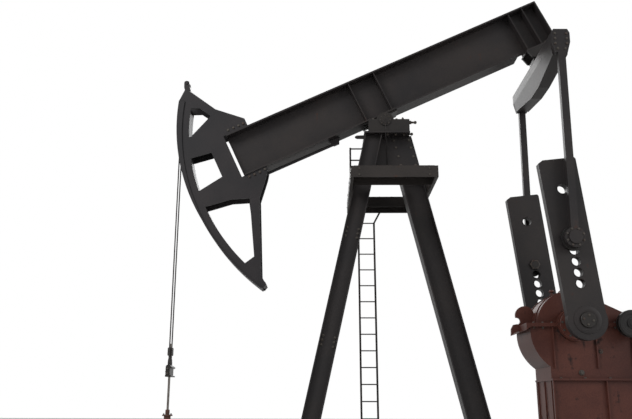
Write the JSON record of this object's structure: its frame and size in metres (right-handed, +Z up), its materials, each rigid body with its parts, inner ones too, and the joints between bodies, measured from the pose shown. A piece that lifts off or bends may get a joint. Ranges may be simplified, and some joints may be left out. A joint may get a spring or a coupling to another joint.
{
  "type": "pumpjack",
  "caption": "Beam pumping unit at its well head, with walking beam, horse head, bridle, long plain cranks, tripod post with walkways and ladder",
  "frame": {"origin": "Centre of the well head's foot flange, at ground level", "axes": "+X from the well towards the motor, +Y to the far side of the picture, +Z up"},
  "size_m": [10.54, 2.728, 8.8217],
  "materials": {
    "structure_paint": "weathered matt",
    "base_paint": "weathered matt",
    "guard_paint": "weathered matt",
    "case_paint": "weathered matt",
    "cast_parts": "oily cast",
    "bright_steel": "polished",
    "wire_rope": "greased strands",
    "well_paint": "weathered satin",
    "motor_paint": "satin"
  },
  "bodies": {
    "root": {"base_runner_near": "base_paint", "base_runner_far": "base_paint", "base_cross_beams": "base_paint", "post_leg_front_near": "structure_paint", "post_leg_front_far": "structure_paint", "post_leg_rear": "structure_paint", "post_head": "structure_paint", "post_ties": "structure_paint", "saddle_bearings": "cast_parts", "platform_deck_near": "guard_paint", "platform_deck_far": "guard_paint", "platform_bearers": "guard_paint", "ladder": "guard_paint", "gear_case_pedestal": "base_paint", "gear_case": "case_paint", "gear_case_cover": "case_paint", "brake_drum": "cast_parts", "belt_guard": "guard_paint", "motor_stand": "base_paint", "motor": "motor_paint", "casing_head": "well_paint", "pumping_tee": "well_paint", "stuffing_box": "well_paint"},
    "beam": {"walking_beam": "structure_paint", "saddle": "cast_parts", "head_plate_near": "structure_paint", "head_plate_far": "structure_paint", "head_face": "structure_paint", "head_stiffeners": "structure_paint", "head_brace": "structure_paint", "rope_anchor": "cast_parts", "bridle_wrap": "wire_rope", "tail_bracket": "cast_parts"},
    "crank": {"crankshaft": "bright_steel", "crank_near": "structure_paint", "crank_far": "structure_paint", "wrist_pins": "cast_parts"},
    "yoke": {"yoke_beam": "structure_paint", "tail_bearing": "cast_parts", "pitman_near": "structure_paint", "pitman_far": "structure_paint"},
    "hanger": {"carrier_bar": "cast_parts", "rod_clamp": "cast_parts", "polished_rod": "bright_steel", "bridle_lines": "wire_rope"}
  },
  "joints": [
    {"name": "beam_swing", "type": "hinge", "parent": "root", "child": "beam", "pos_m": [3.62, 0, 6.42], "axis": [0, 1, 0], "range_deg": [0, 47.27]},
    {"name": "crank_turn", "type": "hinge", "parent": "root", "child": "crank", "pos_m": [6.55, 0, 2.87], "axis": [0, 1, 0], "range_deg": [-0.5, 185.6]},
    {"name": "yoke_swing", "type": "hinge", "parent": "beam", "child": "yoke", "pos_m": [6.46134, 0, 7.73288], "axis": [0, 1, 0], "range_deg": [-49.1, 0.2]},
    {"name": "rod_lift", "type": "slide", "parent": "root", "child": "hanger", "axis": [0, 0, 1], "range_m": [-0.01, 3], "deforming": ["bridle_lines", "polished_rod"]}
  ],
  "couplings": [
    {"joint": "crank_turn", "follows": "beam_swing", "ratio": 3.9158},
    {"joint": "yoke_swing", "follows": "beam_swing", "ratio": -1.0336},
    {"joint": "rod_lift", "follows": "beam_swing", "m_per_rad": 3.62}
  ]
}
